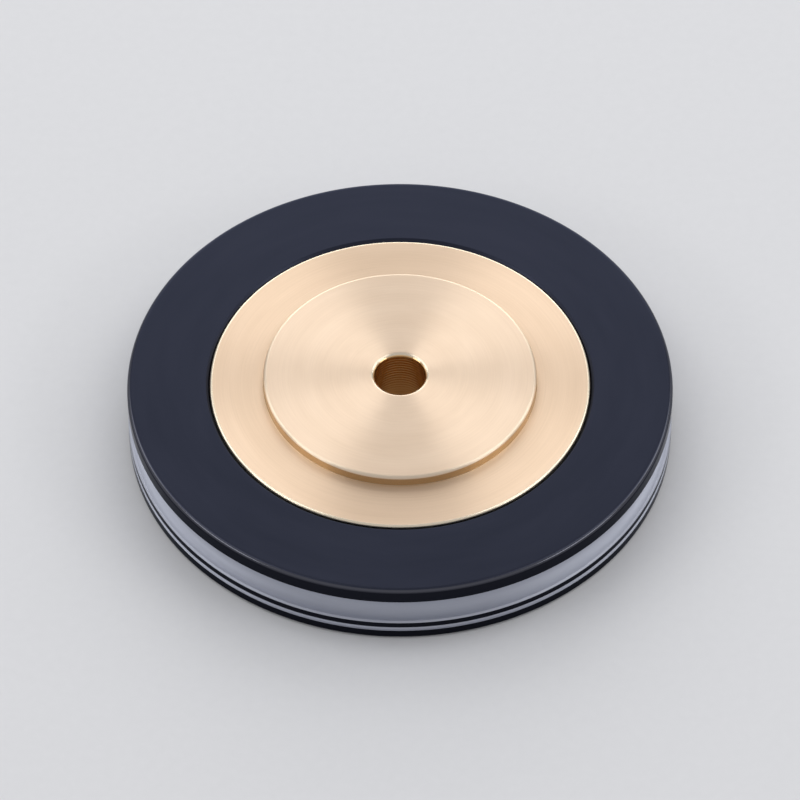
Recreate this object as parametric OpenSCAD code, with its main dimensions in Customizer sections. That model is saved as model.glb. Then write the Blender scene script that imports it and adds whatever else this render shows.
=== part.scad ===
// Record spindle adapter: a black anodised body with a turned brass core set flush in its top.
// Both pieces are turned on one axis, +Z. The origin is the centre of the face that it rests on.
// A turntable's spindle passes through the bore, and the boss centres a record with a large hole.

/* [Body] */
// Outside diameter of the body
body_d = 76; // [70:0.5:100]
// Height of the body, from the face it rests on to its top face
body_h = 10; // [9.5:0.25:16]
// Radius of the body's rounded upper edge
rim_round_r = 0.7; // [0.2:0.1:1.5]
// Chamfer on the body's lower edge
foot_chamfer = 0.4; // [0.1:0.1:1]

/* [Finger groove] */
// Height of the plain rim above the finger groove
rim_h = 2.5; // [1.8:0.1:3]
// Radius of the half-round finger groove
groove_r = 2; // [1:0.1:2.2]
// How far the groove's two edges are broken
groove_edge_break = 0.2; // [0.05:0.05:0.3]

/* [Trim line] */
// Height of the fine turned line above the face the body rests on
trim_z = 2; // [1.5:0.1:2.6]
// Radius of the fine turned line's section
trim_r = 0.35; // [0.15:0.05:0.4]

/* [Core flange] */
// Diameter of the core's flange, flush with the body's top face
flange_d = 53; // [44:0.5:58]
// Thickness of the flange, which is also the depth of its pocket
flange_t = 5; // [3:0.25:7]
// Radius of the flange's rounded upper edge
flange_round_r = 0.35; // [0.1:0.05:0.5]

/* [Core boss] */
// Diameter of the boss, a free fit in the 38.28 mm hole of a large-hole record
boss_d = 38.1; // [30:0.1:42]
// Height of the boss above the flange
boss_h = 1.5; // [0.8:0.1:3]
// Radius of the boss's rounded upper edge
boss_round_r = 0.5; // [0.1:0.05:0.7]

/* [Core shank and bore] */
// Diameter of the shank that holds the core in the body
shank_d = 22; // [14:0.5:28]
// How far the shank's end stands back from the face the body rests on
shank_set_back = 0.2; // [0.05:0.05:0.5]
// Diameter of the spindle bore, a free fit on a 7.1 mm spindle
bore_d = 7.2; // [6:0.1:10]
// Chamfer on both ends of the spindle bore
bore_chamfer = 0.35; // [0.1:0.05:0.6]

/* [Fits] */
// Gap all round the shank in its hole
shank_fit = 0.02; // [0.01:0.01:0.05]
// Gap all round the flange in its pocket
flange_fit = 0.15; // [0.02:0.01:0.2]
// Chamfer on the mouth of the pocket
pocket_chamfer = 0.4; // [0.1:0.05:0.6]
// Small chamfer on edges that no one sees
hidden_chamfer = 0.3; // [0.1:0.05:0.5]

/* [Hidden] */
$fn = 180;
// How far a cutting profile runs past the face that it opens
through = 1;
body_r = body_d / 2;
flange_r = flange_d / 2;
boss_r = boss_d / 2;
shank_r = shank_d / 2;
bore_r = bore_d / 2;
pocket_floor_z = body_h - flange_t;
groove_z = body_h - rim_h - groove_r;
core_top_z = body_h + boss_h;
anodised_black = [0.16, 0.17, 0.21];
turned_brass = [0.93, 0.78, 0.58];

// Section of a turned disc of radius r between z0 and z1, with a 45 degree chamfer on its lower edge
module disc_section(r, z0, z1, lower_chamfer)
    polygon([
        [0, z0],
        [r - lower_chamfer, z0],
        [r, z0 + lower_chamfer],
        [r, z1],
        [0, z1]
    ]);

// Section of a through hole of radius r from z0 to z1, with a 45 degree chamfer at each end
module bore_section(r, z0, z1, chamfer)
    polygon([
        [0, z0 - through],
        [r + chamfer, z0 - through],
        [r + chamfer, z0],
        [r, z0 + chamfer],
        [r, z1 - chamfer],
        [r + chamfer, z1],
        [r + chamfer, z1 + through],
        [0, z1 + through]
    ]);

// Section of a flat-bottomed pocket of radius r, from its floor up to its chamfered mouth
module pocket_section(r, floor_z, mouth_z, chamfer)
    polygon([
        [0, floor_z],
        [r, floor_z],
        [r, mouth_z - chamfer],
        [r + chamfer, mouth_z],
        [r + chamfer, mouth_z + through],
        [0, mouth_z + through]
    ]);

// What the tool takes off a square corner at [r, z] to leave it round
module corner_waste(r, z, round_r)
    difference() {
        translate([r - round_r, z - round_r]) square(round_r + through);
        translate([r - round_r, z - round_r]) circle(round_r);
    }

// A half-round groove in the wall, with both its edges broken at 45 degrees
module groove_section(section_r, edge_break) {
    mouth = section_r + edge_break;
    circle(section_r);
    polygon([[-mouth, 0], [0, -mouth], [mouth, 0], [0, mouth]]);
}

// The black disc: rounded rim, finger groove, trim line, and the pocket and hole that take the core
module body()
    color(anodised_black)
    rotate_extrude()
    difference() {
        disc_section(body_r, 0, body_h, foot_chamfer);
        corner_waste(body_r, body_h, rim_round_r);
        translate([body_r, groove_z]) groove_section(groove_r, groove_edge_break);
        translate([body_r, trim_z]) circle(trim_r);
        pocket_section(flange_r + flange_fit, pocket_floor_z, body_h, pocket_chamfer);
        bore_section(shank_r + shank_fit, 0, pocket_floor_z, hidden_chamfer);
    }

// The brass core: shank, flange and boss in one turning, bored for the spindle
module core()
    color(turned_brass)
    rotate_extrude()
    difference() {
        union() {
            disc_section(shank_r, shank_set_back, body_h, hidden_chamfer);
            disc_section(flange_r, pocket_floor_z, body_h, hidden_chamfer);
            disc_section(boss_r, pocket_floor_z, core_top_z, 0);
        }
        corner_waste(flange_r, body_h, flange_round_r);
        corner_waste(boss_r, core_top_z, boss_round_r);
        bore_section(bore_r, shank_set_back, core_top_z, bore_chamfer);
    }

body();
core();
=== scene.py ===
import bpy
import numpy as np
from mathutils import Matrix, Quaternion, Vector


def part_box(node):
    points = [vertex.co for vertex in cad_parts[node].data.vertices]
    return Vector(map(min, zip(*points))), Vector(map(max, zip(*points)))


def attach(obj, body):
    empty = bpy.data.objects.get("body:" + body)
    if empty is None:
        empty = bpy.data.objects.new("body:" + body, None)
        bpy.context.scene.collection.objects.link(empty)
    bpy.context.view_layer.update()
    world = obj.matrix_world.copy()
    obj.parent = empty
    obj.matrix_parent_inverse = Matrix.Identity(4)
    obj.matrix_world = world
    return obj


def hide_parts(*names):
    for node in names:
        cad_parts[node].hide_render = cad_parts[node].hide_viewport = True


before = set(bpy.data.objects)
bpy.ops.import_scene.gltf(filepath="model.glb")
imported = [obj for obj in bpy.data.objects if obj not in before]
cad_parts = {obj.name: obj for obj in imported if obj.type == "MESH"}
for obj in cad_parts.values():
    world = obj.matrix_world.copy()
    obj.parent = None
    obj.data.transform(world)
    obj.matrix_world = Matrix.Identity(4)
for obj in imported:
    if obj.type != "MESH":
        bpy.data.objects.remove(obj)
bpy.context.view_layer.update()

# Body
# A puck of aluminium, turned all over and anodised black: a satin top face with a rounded rim, a glossier wall, and a
# pocket with a hole below it for the brass core. The half-round finger groove and the fine trim line were cut after
# the anodising, so they show the bare metal, pale and satin.
MM = 0.001
SEGMENTS = 360
body_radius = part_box("body")[1].x
body_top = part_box("body")[1].z
rim_round = 0.7 * MM
rim_height = 2.5 * MM
groove_radius = 2.0 * MM
groove_edge_break = 0.2 * MM
trim_height = 2.0 * MM
trim_radius = 0.35 * MM
foot_chamfer = 0.4 * MM
pocket_radius = 26.65 * MM
pocket_floor = 5.0 * MM
pocket_chamfer = 0.4 * MM
hole_radius = 11.02 * MM
hidden_chamfer = 0.3 * MM
edge_ease = 0.05 * MM
side_support = 0.03 * MM
side_stride = 1.6 * MM


def arc(centre, radius, start, end, steps):
    """Points (r, z) on a circle: centre + radius (cos a, sin a), with a going evenly from start to end in degrees."""
    a = np.radians(np.linspace(start, end, steps + 1))
    return np.stack([centre[0] + radius * np.cos(a), centre[1] + radius * np.sin(a)], 1)


def eased(corners, ease):
    """A closed outline with its sharp corners eased: such a corner C becomes the curve
    (1 - t)^2 A + 2 t (1 - t) C + t^2 B, where A and B lie on its two sides, ease away from it or a third of a short
    side. A long side then gets a point close to each end, which keeps it flat in smooth shading, and others evenly
    between."""
    corners = np.asarray(corners, float)
    before, after = np.roll(corners, 1, 0) - corners, np.roll(corners, -1, 0) - corners
    reach_before, reach_after = np.hypot(*before.T), np.hypot(*after.T)
    turn = (before * after).sum(1) / (reach_before * reach_after)
    t = np.linspace(0, 1, 5)[:, None]
    points = []
    for c, a, b, la, lb, cosine in zip(corners, before, after, reach_before, reach_after, turn):
        if cosine < -np.cos(np.radians(20)):
            points.append(c[None])
            continue
        start, end = c + a * min(ease / la, 1 / 3), c + b * min(ease / lb, 1 / 3)
        points.append((1 - t) ** 2 * start + 2 * t * (1 - t) * c + t**2 * end)
    points = np.concatenate(points)
    sides = []
    for a, b in zip(points, np.roll(points, -1, 0)):
        length = np.hypot(*(b - a))
        share = np.zeros(1)
        if length > 6 * side_support:
            near = side_support / length
            share = np.append(0, np.linspace(near, 1 - near, int(length / side_stride) + 2))
        sides.append(a + share[:, None] * (b - a))
    return np.concatenate(sides)


def lathe(name, outline):
    """A closed outline (r, z) turned round the Z axis: P(u, v) = (r(v) cos u, r(v) sin u, z(v)). The UV map holds u as
    a share of the turn and v as a share of the outline's length, so tangents run round the turning, as tool marks
    do."""
    rings = len(outline)
    u = np.arange(SEGMENTS) * (2 * np.pi / SEGMENTS)
    r, z = outline[:, :1], outline[:, 1:]
    points = np.stack([r * np.cos(u), r * np.sin(u), z + 0 * u], -1).reshape(-1, 3)
    i, j = np.meshgrid(np.arange(rings), np.arange(SEGMENTS), indexing="ij")
    i_next, j_next = (i + 1) % rings, (j + 1) % SEGMENTS
    faces = np.stack([i * SEGMENTS + j, i * SEGMENTS + j_next, i_next * SEGMENTS + j_next, i_next * SEGMENTS + j], -1)
    mesh = bpy.data.meshes.new(name)
    mesh.from_pydata(points, [], faces.reshape(-1, 4))
    reach = np.append(0, np.cumsum(np.hypot(*(np.roll(outline, -1, 0) - outline).T)))
    reach /= reach[-1]
    turn = j / SEGMENTS
    corner_u = np.stack([turn, turn + 1 / SEGMENTS, turn + 1 / SEGMENTS, turn], -1)
    corner_v = np.stack([reach[i], reach[i], reach[i + 1], reach[i + 1]], -1)
    layer = mesh.uv_layers.new(name="OFBake")
    layer.uv.foreach_set("vector", np.stack([corner_u, corner_v], -1).astype(np.float32).ravel())
    mesh.polygons.foreach_set("use_smooth", np.ones(faces.size // 4, bool))
    piece = bpy.data.objects.new(name, mesh)
    bpy.context.scene.collection.objects.link(piece)
    return piece


groove_centre = np.array([body_radius, body_top - rim_height - groove_radius])
trim_centre = np.array([body_radius, trim_height])
mouth = groove_radius + groove_edge_break
mouth_depth = (mouth - np.sqrt(2 * groove_radius**2 - mouth**2)) / 2
mouth_angle = np.degrees(np.arctan2(mouth - mouth_depth, -mouth_depth))
body_outline = eased(
    np.concatenate([
        [(hole_radius + hidden_chamfer, 0), (body_radius - foot_chamfer, 0), (body_radius, foot_chamfer)],
        arc(trim_centre, trim_radius, 270, 90, 12),
        [groove_centre - (0, mouth)],
        arc(groove_centre, groove_radius, 360 - mouth_angle, mouth_angle, 28),
        [groove_centre + (0, mouth)],
        arc((body_radius - rim_round, body_top - rim_round), rim_round, 0, 90, 14),
        [(pocket_radius + pocket_chamfer, body_top), (pocket_radius, body_top - pocket_chamfer)],
        [(pocket_radius, pocket_floor), (hole_radius + hidden_chamfer, pocket_floor)],
        [(hole_radius, pocket_floor - hidden_chamfer), (hole_radius, hidden_chamfer)],
    ]),
    edge_ease,
)
body = lathe("body_turning", body_outline)

# The bare metal is where the outline leaves the wall for the groove or the trim line
middle = (body_outline + np.roll(body_outline, -1, 0)) / 2
in_groove = (np.hypot(*(middle - groove_centre).T) < groove_radius + edge_ease) | (
    np.abs(middle - groove_centre).sum(1) < mouth + edge_ease
)
in_trim = np.hypot(*(middle - trim_centre).T) < trim_radius + edge_ease
cut_after = (in_groove | in_trim) & (middle[:, 0] < body_radius - 0.005 * MM)
body.data.polygons.foreach_set("material_index", np.repeat(cut_after, SEGMENTS).astype(np.int32))


def add(tree, kind, inputs=None, **settings):
    """One shader node with its settings, and for each named or numbered input a value or the socket that it reads."""
    made = tree.nodes.new("ShaderNode" + kind)
    for key, value in settings.items():
        setattr(made, key, value)
    for key, value in (inputs or {}).items():
        if isinstance(value, bpy.types.NodeSocket):
            tree.links.new(value, made.inputs[key])
        else:
            made.inputs[key].default_value = value
    return made


def from_axis(tree, place):
    """The vector from the axis to a point, at the point's own height, and that vector's length."""
    outward = add(tree, "VectorMath", {0: place, 1: (1, 1, 0)}, operation="MULTIPLY").outputs[0]
    return outward, add(tree, "VectorMath", {0: outward}, operation="LENGTH").outputs["Value"]


def joined(tree, operation, first, second):
    """Two values joined by one arithmetic operation."""
    return add(tree, "Math", {0: first, 1: second}, operation=operation).outputs[0]


def turning_marks():
    """The marks that a lathe leaves: noise that changes fast across the cut, along radius + 1.7 height so that faces
    and walls both carry it, and slowly round the turn, along the unit vector that points away from the axis."""
    group = bpy.data.node_groups.new("turning_marks", "ShaderNodeTree")
    for name, value in (("Pitch", 0.0003), ("Wander", 1.0)):
        group.interface.new_socket(name, in_out="INPUT", socket_type="NodeSocketFloat").default_value = value
    for name in ("Marks", "Bands"):
        group.interface.new_socket(name, in_out="OUTPUT", socket_type="NodeSocketFloat")
    given = group.nodes.new("NodeGroupInput")
    place = add(group, "TexCoord").outputs["Object"]
    outward, radius = from_axis(group, place)
    height = add(group, "SeparateXYZ", {0: place}).outputs["Z"]
    across = add(group, "Math", {0: height, 1: 1.7, 2: radius}, operation="MULTIPLY_ADD").outputs[0]
    outward = add(group, "VectorMath", {0: outward}, operation="NORMALIZE").outputs[0]
    around = add(group, "VectorMath", {0: outward, "Scale": given.outputs["Wander"]}, operation="SCALE").outputs[0]
    around = add(group, "SeparateXYZ", {0: around})
    found = []
    for coarser, detail in ((1, 3), (14, 2)):
        count = joined(group, "DIVIDE", across, joined(group, "MULTIPLY", given.outputs["Pitch"], coarser))
        at = add(group, "CombineXYZ", {0: around.outputs[0], 1: around.outputs[1], 2: count}).outputs[0]
        noise = add(group, "TexNoise", {"Vector": at, "Scale": 1.0, "Detail": detail, "Roughness": 0.6})
        found.append(noise.outputs[0])
    out = group.nodes.new("NodeGroupOutput")
    group.links.new(found[0], out.inputs["Marks"])
    group.links.new(found[1], out.inputs["Bands"])
    return group


marks_group = turning_marks()


def finish(name):
    """A new material, its node tree and its Principled shader."""
    material = bpy.data.materials.new(name)
    material.use_nodes = True
    return material, material.node_tree, material.node_tree.nodes["Principled BSDF"]


def marks_in(tree, pitch, wander):
    """The turning marks placed in a material: sockets for the fine marks and the broad bands."""
    placed = add(tree, "Group", node_tree=marks_group)
    placed.inputs["Pitch"].default_value = pitch
    placed.inputs["Wander"].default_value = wander
    return placed.outputs["Marks"], placed.outputs["Bands"]


def ranged(tree, value, low, high, start=0.3, end=0.7):
    """value carried from start..end to low..high, and held at those limits."""
    return add(tree, "MapRange", {0: value, 1: start, 2: end, 3: low, 4: high}).outputs[0]


def tinted(tree, share, first, second):
    """first turned into second by share, where each is a socket or a colour of three numbers."""
    first, second = ((*colour, 1) if isinstance(colour, tuple) else colour for colour in (first, second))
    return add(tree, "Mix", {0: share, 6: first, 7: second}, data_type="RGBA").outputs[2]


face_blacks = (0.0285, 0.032, 0.0485), (0.032, 0.0355, 0.0535)
# Painted highlight: the rim's rounding gets a paler black than the face, so that it draws a bright line where the side
# lamps reflect in it
rim_painted_highlight_black = (0.1, 0.103, 0.124)
# Painted shade: the wall gets a deeper black, so that it stays dark though it mirrors the pale floor
wall_painted_shade_black = (0.012, 0.013, 0.019)
glossy, satin = 0.17, 0.34
anodised, tree, shader = finish("black_anodised_aluminium")
marks, bands = marks_in(tree, 0.22 * MM, 2.0)
place = add(tree, "TexCoord").outputs["Object"]
radius = from_axis(tree, place)[1]
height = add(tree, "SeparateXYZ", {0: place}).outputs["Z"]
grain = add(tree, "TexNoise", {"Vector": place, "Scale": 9000.0, "Detail": 2.0}).outputs[0]
on_face = ranged(tree, radius, 1, 0, body_radius - 0.42 * MM, body_radius - 0.3 * MM)
on_side = ranged(tree, radius, 0, 1, body_radius - 0.45 * MM, body_radius - 0.35 * MM)
on_wall = ranged(tree, height, 1, 0, body_top - 0.5 * MM, body_top - 0.25 * MM)
on_wall = joined(tree, "MULTIPLY", on_wall, on_side)
black = tinted(tree, ranged(tree, bands, 0, 1), *face_blacks)
# The paler black on the rim is a painted highlight
black = tinted(tree, on_face, rim_painted_highlight_black, black)
# The deeper black on the wall is painted shade
black = tinted(tree, on_wall, black, wall_painted_shade_black)
tree.links.new(black, shader.inputs["Base Color"])
shader.inputs["Metallic"].default_value = 1.0
shader.inputs["Specular Tint"].default_value = (0.62, 0.63, 0.66, 1)
gloss = ranged(tree, on_face, glossy, satin, 0, 1)
gloss = joined(tree, "ADD", gloss, ranged(tree, bands, -0.02, 0.02))
gloss = joined(tree, "ADD", gloss, ranged(tree, grain, -0.02, 0.02))
tree.links.new(gloss, shader.inputs["Roughness"])
fine = add(tree, "Bump", {"Height": marks, "Strength": 0.25, "Distance": 0.002 * MM}).outputs[0]
fine = add(tree, "Bump", {"Height": grain, "Strength": 0.25, "Distance": 0.002 * MM, "Normal": fine}).outputs[0]
tree.links.new(fine, shader.inputs["Normal"])

bright_cut, tree, shader = finish("bright_cut_aluminium")
marks, bands = marks_in(tree, 0.12 * MM, 1.0)
bare = tinted(tree, ranged(tree, bands, 0, 1), (0.44, 0.46, 0.525), (0.48, 0.5, 0.565))
tree.links.new(bare, shader.inputs["Base Color"])
tree.links.new(ranged(tree, marks, 0.5, 0.58), shader.inputs["Roughness"])
shader.inputs["Metallic"].default_value = 1.0
shader.inputs["Anisotropic"].default_value = 0.3
shader.inputs["Anisotropic Rotation"].default_value = 0.25
tree.links.new(add(tree, "Tangent", direction_type="RADIAL", axis="Z").outputs[0], shader.inputs["Tangent"])
fine = add(tree, "Bump", {"Height": marks, "Strength": 0.3, "Distance": 0.002 * MM}).outputs[0]
tree.links.new(fine, shader.inputs["Normal"])

body.data.materials.append(anodised)
body.data.materials.append(bright_cut)
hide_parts("body")
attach(body, "root")

# Core
# One turning of brass, pressed into the body: a shank that fills the hole, a flange that fills the pocket flush with
# the top face, and a low boss that centres a record with a large hole. It is bored for the turntable's spindle, and
# its faces are left as the tool cut them, in fine rings.
core_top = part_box("core")[1].z
flange_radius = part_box("core")[1].x
flange_round = 0.35 * MM
boss_radius = 19.05 * MM
boss_round = 0.5 * MM
shank_radius = 11.0 * MM
shank_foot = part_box("core")[0].z
bore_radius = 3.6 * MM
bore_chamfer = 0.35 * MM
lip_round = 0.6 * MM
lip = lip_round * np.tan(np.radians(22.5))
drill_pitch = 0.5 * MM
drill_depth = 0.035 * MM
drill_points = 121
drill_ends = core_top - bore_chamfer, shank_foot + bore_chamfer
core_outline = eased(
    np.concatenate([
        [(bore_radius + bore_chamfer, shank_foot), (shank_radius - hidden_chamfer, shank_foot)],
        [(shank_radius, shank_foot + hidden_chamfer), (shank_radius, pocket_floor)],
        [(flange_radius - hidden_chamfer, pocket_floor), (flange_radius, pocket_floor + hidden_chamfer)],
        arc((flange_radius - flange_round, body_top - flange_round), flange_round, 0, 90, 10),
        [(boss_radius, body_top)],
        arc((boss_radius - boss_round, core_top - boss_round), boss_round, 0, 90, 12),
        arc((bore_radius + bore_chamfer + lip, core_top - lip_round), lip_round, 90, 135, 8),
        [(bore_radius, drill_ends[0]), (bore_radius, drill_ends[1])],
    ]),
    edge_ease,
)

# The drill leaves the bore in fine rings: r = bore_radius + drill_depth (1 - cos(turns)) / 2, one turn to each pitch
in_bore = core_outline[:, 0] < bore_radius + 0.001 * MM
first = np.flatnonzero(in_bore)[0]
depth = np.linspace(core_outline[in_bore, 1].max(), core_outline[in_bore, 1].min(), drill_points)
turns = (depth - depth[0]) * (2 * np.pi / drill_pitch)
rings = np.stack([bore_radius + drill_depth * (1 - np.cos(turns)) / 2, depth], 1)
core_outline = np.concatenate([core_outline[:first], rings, core_outline[~in_bore][first:]])
core = lathe("core_turning", core_outline)

# Painted shade on the boss's wall
wall_painted_shade_brass = (0.56, 0.4, 0.23)
# Painted highlight on the rounded edges and the bore's lip
painted_highlight_brass, edge_and_wall_gloss = (0.98, 0.87, 0.67), 0.22
# Painted shade in the bore, with rings of tone
drill_rings_and_shade_brass, drilled_gloss = ((0.78, 0.48, 0.2), (0.9, 0.62, 0.32)), 0.16
brass, tree, shader = finish("turned_brass")
marks, bands = marks_in(tree, 0.2 * MM, 1.2)
tone = joined(tree, "ADD", ranged(tree, marks, 0, 0.5), ranged(tree, bands, 0, 0.5))
radius = from_axis(tree, add(tree, "TexCoord").outputs["Object"])[1]
on_flange = ranged(tree, radius, 0, 1, boss_radius - 0.1 * MM, boss_radius + 0.1 * MM)
cut = tinted(tree, on_flange, (0.935, 0.745, 0.565), (0.92, 0.71, 0.52))
worked = tinted(tree, on_flange, (0.83, 0.645, 0.475), (0.81, 0.61, 0.43))
colour = tinted(tree, tone, worked, cut)
gloss = ranged(tree, marks, 0.33, 0.4)

# Painted shade: the boss's wall gets a deeper, browner brass, which darkens it as shade and brass-on-brass reflection
# do
near_wall = ranged(tree, radius, 0, 1, boss_radius - 0.06 * MM, boss_radius - 0.01 * MM)
past_wall = ranged(tree, radius, 1, 0, boss_radius + 0.03 * MM, boss_radius + 0.1 * MM)
on_wall = joined(tree, "MULTIPLY", near_wall, past_wall)
colour = tinted(tree, on_wall, colour, wall_painted_shade_brass)

# Painted highlight: the rounded edges and the bore's lip get a paler brass that draws bright lines on them, and a
# smoother finish
flange_line, boss_line, lip_line = flange_radius - flange_round, boss_radius - boss_round, bore_radius + bore_chamfer
flange_edge = ranged(tree, radius, 0, 1, flange_line - 0.05 * MM, flange_line + 0.05 * MM)
boss_edge = ranged(tree, radius, 0, 0.35, boss_line, boss_line + 0.1 * MM)
short_of_wall = ranged(tree, radius, 1, 0, boss_radius - 0.1 * MM, boss_radius - 0.04 * MM)
boss_edge = joined(tree, "MULTIPLY", boss_edge, short_of_wall)
bore_lip = ranged(tree, radius, 0.7, 0, lip_line, lip_line + 0.15 * MM)
on_edge = joined(tree, "MAXIMUM", joined(tree, "MAXIMUM", flange_edge, boss_edge), bore_lip)
colour = tinted(tree, on_edge, colour, painted_highlight_brass)
gloss = add(tree, "Mix", {0: joined(tree, "MAXIMUM", on_edge, on_wall), 2: gloss, 3: edge_and_wall_gloss}).outputs[0]

# Painted shade: the bore is coloured redder and duller than the faces, for the shade deep in the hole, in rings of tone
# along the drill's marks
in_bore = ranged(tree, radius, 1, 0, bore_radius + 0.09 * MM, bore_radius + 0.16 * MM)
drilled = tinted(tree, marks, *drill_rings_and_shade_brass)
gloss = add(tree, "Mix", {0: in_bore, 2: gloss, 3: drilled_gloss}).outputs[0]
tree.links.new(tinted(tree, in_bore, colour, drilled), shader.inputs["Base Color"])
tree.links.new(gloss, shader.inputs["Roughness"])
shader.inputs["Metallic"].default_value = 1.0
shader.inputs["Anisotropic"].default_value = 0.97
shader.inputs["Anisotropic Rotation"].default_value = 0.25
tree.links.new(add(tree, "Tangent", direction_type="RADIAL", axis="Z").outputs[0], shader.inputs["Tangent"])
fine = add(tree, "Bump", {"Height": marks, "Strength": 0.65, "Distance": 0.003 * MM}).outputs[0]
tree.links.new(fine, shader.inputs["Normal"])

core.data.materials.append(brass)
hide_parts("core")
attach(core, "root")

# Floor
# A plain pale table top, wide enough to fill the view from any side.
floor_reach = 6.0
floor_drop = 0.02 * MM
mesh = bpy.data.meshes.new("floor")
corners = np.array([(-1, -1, 0), (1, -1, 0), (1, 1, 0), (-1, 1, 0)]) * floor_reach - (0, 0, floor_drop)
mesh.from_pydata(corners, [], [(0, 1, 2, 3)])
floor = bpy.data.objects.new("floor", mesh)
bpy.context.scene.collection.objects.link(floor)
pale, tree, shader = finish("pale_matt_paper")
place = add(tree, "TexCoord").outputs["Object"]
grain = add(tree, "TexNoise", {"Vector": place, "Scale": 700.0, "Detail": 3.0}).outputs[0]
tree.links.new(tinted(tree, grain, (0.71, 0.715, 0.725), (0.74, 0.745, 0.755)), shader.inputs["Base Color"])
shader.inputs["Roughness"].default_value = 0.7
shader.inputs["Specular IOR Level"].default_value = 0.2
floor.data.materials.append(pale)

# Light
# An even grey room. A soft panel on either side draws the bright diagonal wedges on the turned brass, and one above
# the back lights what the top faces mirror. A low strip behind picks out the edges that face away, and a short one at
# either front corner lights the rounded rim and the groove.
room = bpy.data.worlds.new("room")
bpy.context.scene.world = room
room.use_nodes = True
room.node_tree.nodes["Background"].inputs["Color"].default_value = (0.51, 0.51, 0.53, 1)
room.node_tree.nodes["Background"].inputs["Strength"].default_value = 1.0
middle_of_core = Vector((0, 0, body_top))


def panel(name, direction, distance, size, power, spin=0.0):
    """A soft rectangular lamp that faces the object from direction, turned about that line by spin, with power in watts
    for each square metre of it."""
    lamp = bpy.data.lights.new(name, "AREA")
    lamp.shape = "RECTANGLE"
    lamp.size, lamp.size_y = size
    lamp.energy = power * size[0] * size[1]
    holder = bpy.data.objects.new(name, lamp)
    bpy.context.scene.collection.objects.link(holder)
    direction = Vector(direction).normalized()
    holder.location = middle_of_core + direction * distance
    holder.rotation_euler = (direction.to_track_quat("Z", "Y") @ Quaternion((0, 0, 1), spin)).to_euler()


panel("panel_left", (-0.64, 0.27, 0.72), 1.14, (0.56, 1.28), 4.18, -0.22)
panel("panel_right", (0.64, 0.27, 0.72), 1.14, (0.56, 1.28), 4.18, 0.22)
panel("panel_back", (0, 0.94, 0.34), 1.0, (0.89, 1.12), 3.32)
panel("strip_back", (0, 0.96, 0.28), 1.2, (1.6, 0.16), 5.6)
panel("strip_left", (-0.8, -0.3, 0.5), 0.9, (0.45, 0.14), 9)
panel("strip_right", (0.8, -0.3, 0.5), 0.9, (0.45, 0.14), 9)

# Camera
# It looks from where the photograph was taken, 48.8 degrees above the table, through a longer lens that fills the
# frame with the object alone.
view_elevation = np.radians(48.8)
view_distance = 0.888
view_lens = 286.0
view_target = Vector((0, 0, 0.006))
camera = bpy.data.objects.new("camera", bpy.data.cameras.new("camera"))
bpy.context.scene.collection.objects.link(camera)
camera.data.lens = view_lens
camera.data.sensor_width = 36.0
toward_camera = Vector((0, -np.cos(view_elevation), np.sin(view_elevation)))
camera.location = view_target + toward_camera * view_distance
camera.rotation_euler = toward_camera.to_track_quat("Z", "Y").to_euler()
bpy.context.scene.camera = camera
bpy.context.scene.view_settings.view_transform = "Standard"
